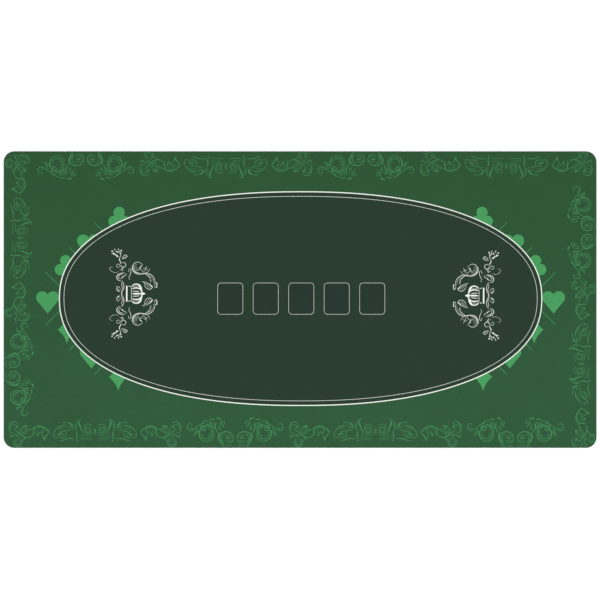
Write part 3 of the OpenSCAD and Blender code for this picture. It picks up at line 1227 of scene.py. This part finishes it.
@dataclass
class Border:
    """The scrollwork along the four edges.

    A motif is drawn in mm about its own middle, with +X along the edge and +Y from
    the mat's edge inwards, and holds its right half only.
    """

    edges: tuple[Edge, ...] = (
        Edge("top", 0.0, 2, 8.5 * MM, 6 * MM, 239 * MM, 267 * MM),
        Edge("right", -90.0, 1, 6 * MM, 8.5 * MM, 243 * MM, 246 * MM),
        Edge("bottom", 180.0, 2, 8.5 * MM, 6 * MM, 239 * MM, 267 * MM),
        Edge("left", 90.0, 1, 6 * MM, 8.5 * MM, 229 * MM, 260 * MM),
    )
    drawn_pitch: float = 412 * MM
    shift: tuple[float, float] = (1.5 * MM, 3 * MM)
    pen: Pen = field(default_factory=Pen)

    def rosette_lines(self) -> list[Stroke]:
        """Draws half a rosette: a great scroll, a flower, a petal and an end curl."""
        return [
            # Great scroll
            swell(3.0, (13.5, -10.5), (28.5, -9.5), (40, 1), (48.5, 15), (51.5, 25.5), (47, 33),
                (38.5, 38), (26.5, 40), (16, 37), (7.5, 28.5), (6, 18), (9.5, 9.5), (19, 6),
                (26.5, 9.5), (30, 16.5)),
            # Great scroll, bold side
            swell(4.1, (42.5, 5.5), (48.5, 16.5), (49.5, 26), (43.5, 33.5)),
            # Line inside the scroll
            fine(2.0, (33.5, 3.5), (39.5, 13.5), (41.5, 23.5), (36.5, 31), (27.5, 33.5)),
            fine(1.3, (37.5, 3), (43.5, 15), (45, 24.5)),
            # Line above the scroll
            fine(1.5, (8, -1), (20, -3.5), (31, 0.5)),
            # Eye
            swell(3.6, (14, 18), (20.5, 21), (28.5, 20.5)),
            # Eye, upper lid
            fine(1.5, (11, 14.5), (17.5, 11.5), (24.5, 14)),
            # Eye, lower lid
            fine(1.8, (9.5, 25), (17, 27.5), (28, 26.5)),
            # Stem
            swell(2.9, (49.5, 32.5), (55.5, 41.5), (59.5, 51), (59, 61.5), (57, 70.5)),
            # Flower
            curl(Nib.SWELL, 2.5, (86, 35), 24.5, 160, -330),
            # Flower, bold side
            swell(3.9, (100.5, 16), (108, 26), (109, 37.5), (105, 46)),
            # Flower, rib
            curl(Nib.FINE, 1.5, (86, 35.5), 20.5, 100, 160),
            curl(Nib.FINE, 1.5, (86.5, 35.5), 16, 110, 145),
            # Flower, fold
            swell(2.4, (64.5, 34.5), (68.5, 39.5), (73, 42.5)),
            fine(1.8, (68, 25), (72.5, 32), (78, 37)),
            fine(1.7, (75.5, 17.5), (78, 25), (81.5, 31.5)),
            # Flower, inner lip
            fine(2.1, (79.5, 19.5), (93, 19.5), (101, 28), (102, 37)),
            # Petal
            curl(Nib.SWELL, 2.8, (97, 51.5), 8, 80, -350),
            # Petal, eye
            curl(Nib.FINE, 2.6, (97, 51.5), 3.5, 200, -300),
            # Petal's tail
            drop(4.9, (89.5, 73.5), (95, 68.5), (102.5, 62.5), (109.5, 56.5)),
            # End curl
            swell(2.7, (104.5, 63), (112.5, 57.5), (121, 50.5), (129.5, 45.5), (138, 44),
                (144.5, 50.5), (143.5, 60.5), (136.5, 65.5), (131, 62), (133, 56.5)),
            # End curl, lining
            fine(1.5, (126, 52.5), (132.5, 50), (138.5, 53)),
            # Branch
            swell(2.8, (112.5, 51.5), (118, 43.5), (121.5, 34), (129.5, 29)),
            # Branch, second line
            fine(1.5, (114, 42.5), (116.5, 34.5), (122.5, 26.5)),
            # Petal to flower
            fine(2.0, (105.5, 48), (110.5, 43.5), (113, 36.5)),
            # Berry ring
            curl(Nib.FINE, 1.8, (67, 61), 6, 0, 350),
            # Berry
            dot((67.5, 61), 1.8),
            # Berry ring
            curl(Nib.FINE, 1.7, (81, 65.5), 5, 60, 300),
            # Bar
            swell(3.2, (61.5, 75.5), (70.5, 78), (79, 76.5)),
            fine(2.0, (81, 72.5), (87, 74), (92.5, 70)),
            # Foot
            swell(4.6, (43, 75.5), (49, 80.5), (57.5, 81.5)),
            # Bud ring
            curl(Nib.FINE, 2.2, (37.5, 65.5), 6, 250, 330),
            # Bud
            dot((39, 63.5), 1.9),
            # Flick
            swell(2.3, (34, 51), (36, 56), (35, 59.5)),
            swell(2.3, (43.5, 45.5), (45.5, 51), (43, 56.5)),
            # Line beside bud
            fine(1.8, (47.5, 43.5), (50.5, 53.5), (47.5, 65)),
            # Line from stem to petal
            fine(1.8, (59.5, 47.5), (68.5, 53.5), (79, 56), (88.5, 54.5)),
            # Twig
            fine(1.5, (74.5, 71.5), (73.5, 60), (66, 53)),
            fine(1.5, (88.5, 66), (84, 60.5), (76, 58)),
        ]

    def bracket_lines(self) -> list[Stroke]:
        """Draws half a bracket: a whorl, a candle, a horn and a long leaf."""
        return [
            # Middle line
            fine(2.0, (2.5, 31.5), (2, 41), (2.5, 51)),
            # Top line
            fine(1.7, (9.5, 19), (27.5, 18), (47.5, 19)),
            # Second line
            fine(1.3, (19.5, 25), (30.5, 26), (40.5, 26.5), (50, 26.5)),
            # Candle's flame
            dot((53.5, 13.5), 2.5),
            # Candle
            swell(3.3, (54, 15), (55.5, 26), (54, 34.5), (57, 44.5)),
            # Outward tip
            swell(2.8, (59.5, 19), (76.5, 19.5), (86.5, 18), (96.5, 14), (107.5, 12)),
            # Brow
            fine(1.5, (7.5, 38.5), (13, 32), (25, 31), (33.5, 37)),
            # Whorl
            curl(Nib.SWELL, 2.2, (21.5, 46), 12, 60, -650, 4),
            # Under the whorl
            fine(1.7, (7.5, 56), (13.5, 61.5), (22.5, 63), (31, 57.5), (34.5, 49)),
            # Horn
            drop(4.9, (49, 73), (47.5, 62.5), (43, 51.5), (39, 40.5), (37, 31)),
            # Horn's back
            swell(2.4, (49, 74), (56.5, 68.5), (61, 59), (62, 45.5)),
            # Horn's side
            fine(1.5, (56.5, 45.5), (57, 54.5), (52.5, 64.5)),
            # Foot
            fine(2.1, (40.5, 76.5), (47, 76.5), (53, 74.5)),
            # Root
            swell(3.9, (68.5, 50), (69, 57.5), (73.5, 65), (81.5, 67)),
            # Root's curl
            curl(Nib.FINE, 1.8, (76.5, 57.5), 5.5, 0, -310),
            # Lower dash
            fine(2.1, (82.5, 67.5), (90.5, 68.5), (99, 67.5)),
            # Leaf, lower edge
            swell(2.9, (83, 57), (92.5, 58.5), (106.5, 55.5), (117.5, 47.5), (126.5, 36)),
            # Leaf, upper edge
            swell(2.2, (67.5, 46), (79, 45.5), (90, 42), (100.5, 41.5), (110.5, 43.5)),
            # Leaf, fold
            fine(2.1, (89.5, 39), (88, 31), (92.5, 25), (101, 22.5), (111, 24.5)),
            # Leaf, heart
            swell(4.1, (98, 37), (105.5, 34), (113.5, 29.5)),
            # Leaf's bead
            dot((110.5, 29.5), 2.2),
            # Tip's bead
            dot((125, 31), 2.8),
            # Tip
            fine(2.0, (112, 22.5), (119.5, 22), (126, 26)),
            # Leaf, shade
            fine(1.5, (93, 33), (99, 29.5), (105, 30)),
            fine(1.3, (90.5, 50.5), (100.5, 50.5), (109.5, 48.5)),
        ]

    def vine_lines(self) -> list[Stroke]:
        """Draws the vine that hangs on the bracket's side and runs out to the rosette."""
        return [
            # Cup, inner side
            swell(2.8, (154, 13), (150.5, 23), (143.5, 32), (137.5, 41)),
            # Cup, outer side
            fine(2.1, (154, 14), (157.5, 24.5), (162, 31.5)),
            # Cup's point
            drop(3.3, (154, 12), (154, 18), (153.5, 25.5)),
            # Cup's lip
            swell(3.6, (138, 40.5), (143, 43), (147.5, 47)),
            # Cup's bowl
            swell(3.4, (142.5, 44.5), (151, 51), (161.5, 56), (171, 57), (180, 54), (191.5, 48),
                (201.5, 45)),
            # Cup's lining
            fine(1.3, (149, 45.5), (160.5, 51), (171, 51.5), (179, 48)),
            # Pod
            drop(4.6, (175.5, 27.5), (172, 31.5), (168.5, 38.5)),
            # Pod's shell
            fine(1.6, (174.5, 30), (178, 37), (174.5, 45)),
            # Pod's curl
            curl(Nib.FINE, 2.0, (161.5, 41), 5, 30, -320),
            # Stem
            swell(3.4, (185, 25), (187, 33.5), (185.5, 43), (182, 52.5)),
            # Arch
            swell(3.3, (189.5, 31.5), (195.5, 24.5), (205.5, 22), (218.5, 26), (228, 33.5),
                (238, 41.5), (247, 49.5)),
            # Curl under the arch
            curl(Nib.SWELL, 2.0, (214, 42), 10.5, 200, -330),
            # Curl under the arch, seeds
            curl(Nib.FINE, 1.6, (214, 42), 6, 20, -300),
            # Seed
            dot((214, 42), 1.7),
            # Wedge
            drop(4.9, (205, 57.5), (212.5, 57), (223.5, 56)),
            # Stalk
            swell(2.4, (207, 21.5), (215, 17.5), (222.5, 11)),
            # Edge curl
            curl(Nib.SWELL, 2.4, (234, 7.5), 13, 60, -335),
            # Edge curl, lining
            curl(Nib.FINE, 1.8, (234, 8), 8, 90, -260),
            # Edge curl's eye
            dot((227.5, 10.5), 2.3),
            # Calyx
            fine(2.1, (240.5, 21.5), (237.5, 26.5), (227.5, 28)),
            # Outer leaf
            swell(2.7, (233.5, 27.5), (240.5, 32), (248, 29), (254.5, 23.5), (259, 26.5),
                (258, 33.5)),
            # Great loop
            swell(2.9, (245, 39.5), (253.5, 36.5), (259.5, 43.5), (260.5, 54), (257.5, 63),
                (252, 68.5), (244, 70), (236.5, 67.5), (233.5, 62)),
            # Loop's drop
            drop(5.4, (233.5, 59.5), (237.5, 54), (242, 48)),
            # Loop's lining
            curl(Nib.FINE, 1.8, (247.5, 54.5), 7.5, -60, 250),
            # Shade
            fine(1.5, (229, 39.5), (229.5, 47), (228, 53.5)),
            fine(1.3, (201, 52.5), (200, 48), (202, 38.5)),
        ]

    def tree(self) -> bpy.types.NodeTree:
        """Builds the tree that sets rosettes and brackets by turns along an edge."""
        tree, bench, inputs = new_tree(
            "border_strip",
            {
                "Rosette": ("Object", None),
                "Bracket": ("Object", None),
                "Lead": ("Float", 0.25),
                "Pitch": ("Float", 0.4),
                "Groups": ("Int", 2),
                "Corner": ("Vector", (0.0, 0.0, 0.0)),
                "Turn": ("Float", 0.0),
                "Thickness": ("Float", INK_T),
                "Ink": ("Material", None),
            },
        )
        stride = bench.vector(X=bench.math("MULTIPLY", inputs["Pitch"], 2.0))
        rows = []
        for label, first in (
            ("Rosette", inputs["Lead"]),
            ("Bracket", bench.math("ADD", inputs["Lead"], inputs["Pitch"])),
        ):
            drawn = bench.add("GeometryNodeObjectInfo", {"Object": inputs[label]})
            wires = {"Lines": drawn.outputs["Geometry"], "Thickness": inputs["Thickness"]}
            inked = bench.out("GeometryNodeGroup", wires, node_tree=self.pen.ink_group())
            rows.append(bench.row(inputs["Groups"], bench.vector(X=first), stride, inked))
        cornered = bench.moved(bench.join(*rows), Translation=inputs["Corner"])
        bench.end(bench.moved(cornered, Rotation=bench.vector(Z=inputs["Turn"])), inputs["Ink"])
        return tree

    def build(self, palette: Palette) -> list[bpy.types.Object]:
        """Builds the four strips.

        Args:
            palette: The finishes.

        Returns:
            The strips, clockwise from the top.
        """
        low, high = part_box("playing_cloth")
        print_low, print_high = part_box("border_scrolls_top")
        long_side, short_side = high.x - low.x, high.y - low.y
        tree = self.tree()
        ink = palette.scroll.material()
        strips = []
        for edge in self.edges:
            sides = (long_side, short_side)
            run, across = sides if edge.is_long else sides[::-1]
            pitch = (run - 2 * edge.gap_along - edge.lead - edge.tail) / (2 * edge.groups - 1)
            scale = min(1.0, pitch / self.drawn_pitch)
            moved = Vector((*self.shift, 0.0))
            moved.rotate(Euler((0.0, 0.0, -math.radians(edge.turn))))
            inset = (edge.gap_across - moved.y) / MM
            reach = (edge.gap_along - moved.x + edge.tail) / MM
            drawn = [
                self.pen.lines(name, self.pen.border_runs(strokes, inset, reach, scale))
                for name, strokes in (
                    ("rosette_lines", self.rosette_lines()),
                    ("bracket_lines", self.bracket_lines() + self.vine_lines()),
                )
            ]
            host = bpy.data.objects.new("strip_host", bpy.data.meshes.new("strip_host"))
            bpy.context.collection.objects.link(host)
            piece = grow(
                host,
                tree,
                f"border_scrolls_{edge.name}_print",
                {
                    "Rosette": drawn[0],
                    "Bracket": drawn[1],
                    "Lead": edge.gap_along + moved.x + edge.lead,
                    "Pitch": pitch,
                    "Groups": edge.groups,
                    "Corner": (-run / 2, across / 2, print_low.z),
                    "Turn": math.radians(edge.turn),
                    "Thickness": print_high.z - print_low.z,
                    "Ink": ink,
                },
            )
            turn_outwards(piece.data)
            strips.append(settle(piece, "scroll_print", f"border_scrolls_{edge.name}"))
            for lines in drawn:
                bpy.data.objects.remove(lines)
        return strips


# ---- the studio ----


@dataclass
class Studio:
    """A pale floor, soft light from above and a camera that looks straight down."""

    lens: float = 85.0
    sensor: float = 36.0
    view_w: float = 1.823
    floor_half: float = 30.0
    world_light: float = 1.0

    def floor(self) -> bpy.types.Object:
        """Builds the floor."""
        mesh = bpy.data.meshes.new("floor")
        s = self.floor_half
        mesh.from_pydata([(-s, -s, 0), (s, -s, 0), (s, s, 0), (-s, s, 0)], [], [(0, 1, 2, 3)])
        floor = bpy.data.objects.new("floor", mesh)
        bpy.context.collection.objects.link(floor)
        material = bpy.data.materials.new("pale_floor")
        material.use_nodes = True
        shader = material.node_tree.nodes["Principled BSDF"]
        shader.inputs["Base Color"].default_value = (0.96, 0.96, 0.96, 1)
        shader.inputs["Roughness"].default_value = 0.9
        shader.inputs["Specular IOR Level"].default_value = 0.1
        mesh.materials.append(material)
        return floor

    def light(self) -> None:
        """Lights the set with an even sky and two large soft lamps."""
        world = bpy.data.worlds.new("soft_sky")
        world.use_nodes = True
        sky = world.node_tree.nodes["Background"]
        sky.inputs["Color"].default_value = (1, 1, 1, 1)
        sky.inputs["Strength"].default_value = self.world_light
        bpy.context.scene.world = world
        for name, place, size, power in (
            ("near_lamp", (0.3, -2.2, 2.6), 2.2, 26.0),
            ("far_lamp", (-0.8, 2.0, 3.4), 2.6, 8.0),
        ):
            data = bpy.data.lights.new(name, "AREA")
            data.size = size
            data.energy = power
            lamp = bpy.data.objects.new(name, data)
            lamp.location = place
            lamp.rotation_euler = (-Vector(place)).to_track_quat("-Z", "Y").to_euler()
            bpy.context.collection.objects.link(lamp)

    def camera(self) -> bpy.types.Object:
        """Sets the camera straight above the mat."""
        data = bpy.data.cameras.new("camera")
        data.lens = self.lens
        data.sensor_width = self.sensor
        data.clip_end = 100
        camera = bpy.data.objects.new("camera", data)
        distance = self.view_w * self.lens / self.sensor
        camera.location = (-0.0003, -0.0012, distance)
        bpy.context.collection.objects.link(camera)
        bpy.context.scene.camera = camera
        bpy.context.scene.view_settings.view_transform = "Standard"
        return camera


def main() -> None:
    """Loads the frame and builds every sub-assembly."""
    logging.basicConfig(level=logging.INFO, format="%(message)s")
    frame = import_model()
    palette = Palette()
    laminate = Laminate()
    rubber = laminate.rubber(palette)
    laminate.film(palette)
    cloth = laminate.cloth(palette)
    prints = Layout().dress(frame["nodes"], palette)
    pen = Pen()
    ivory = palette.ivory.material()
    prints += Crest("left", 1.0, pen=pen).build(ivory)
    prints += Crest("right", -1.0, pen=pen).build(ivory)
    prints += Border(pen=pen).build(palette)
    studio = Studio()
    studio.floor()
    studio.light()
    studio.camera()


if __name__ == "__main__":
    main()
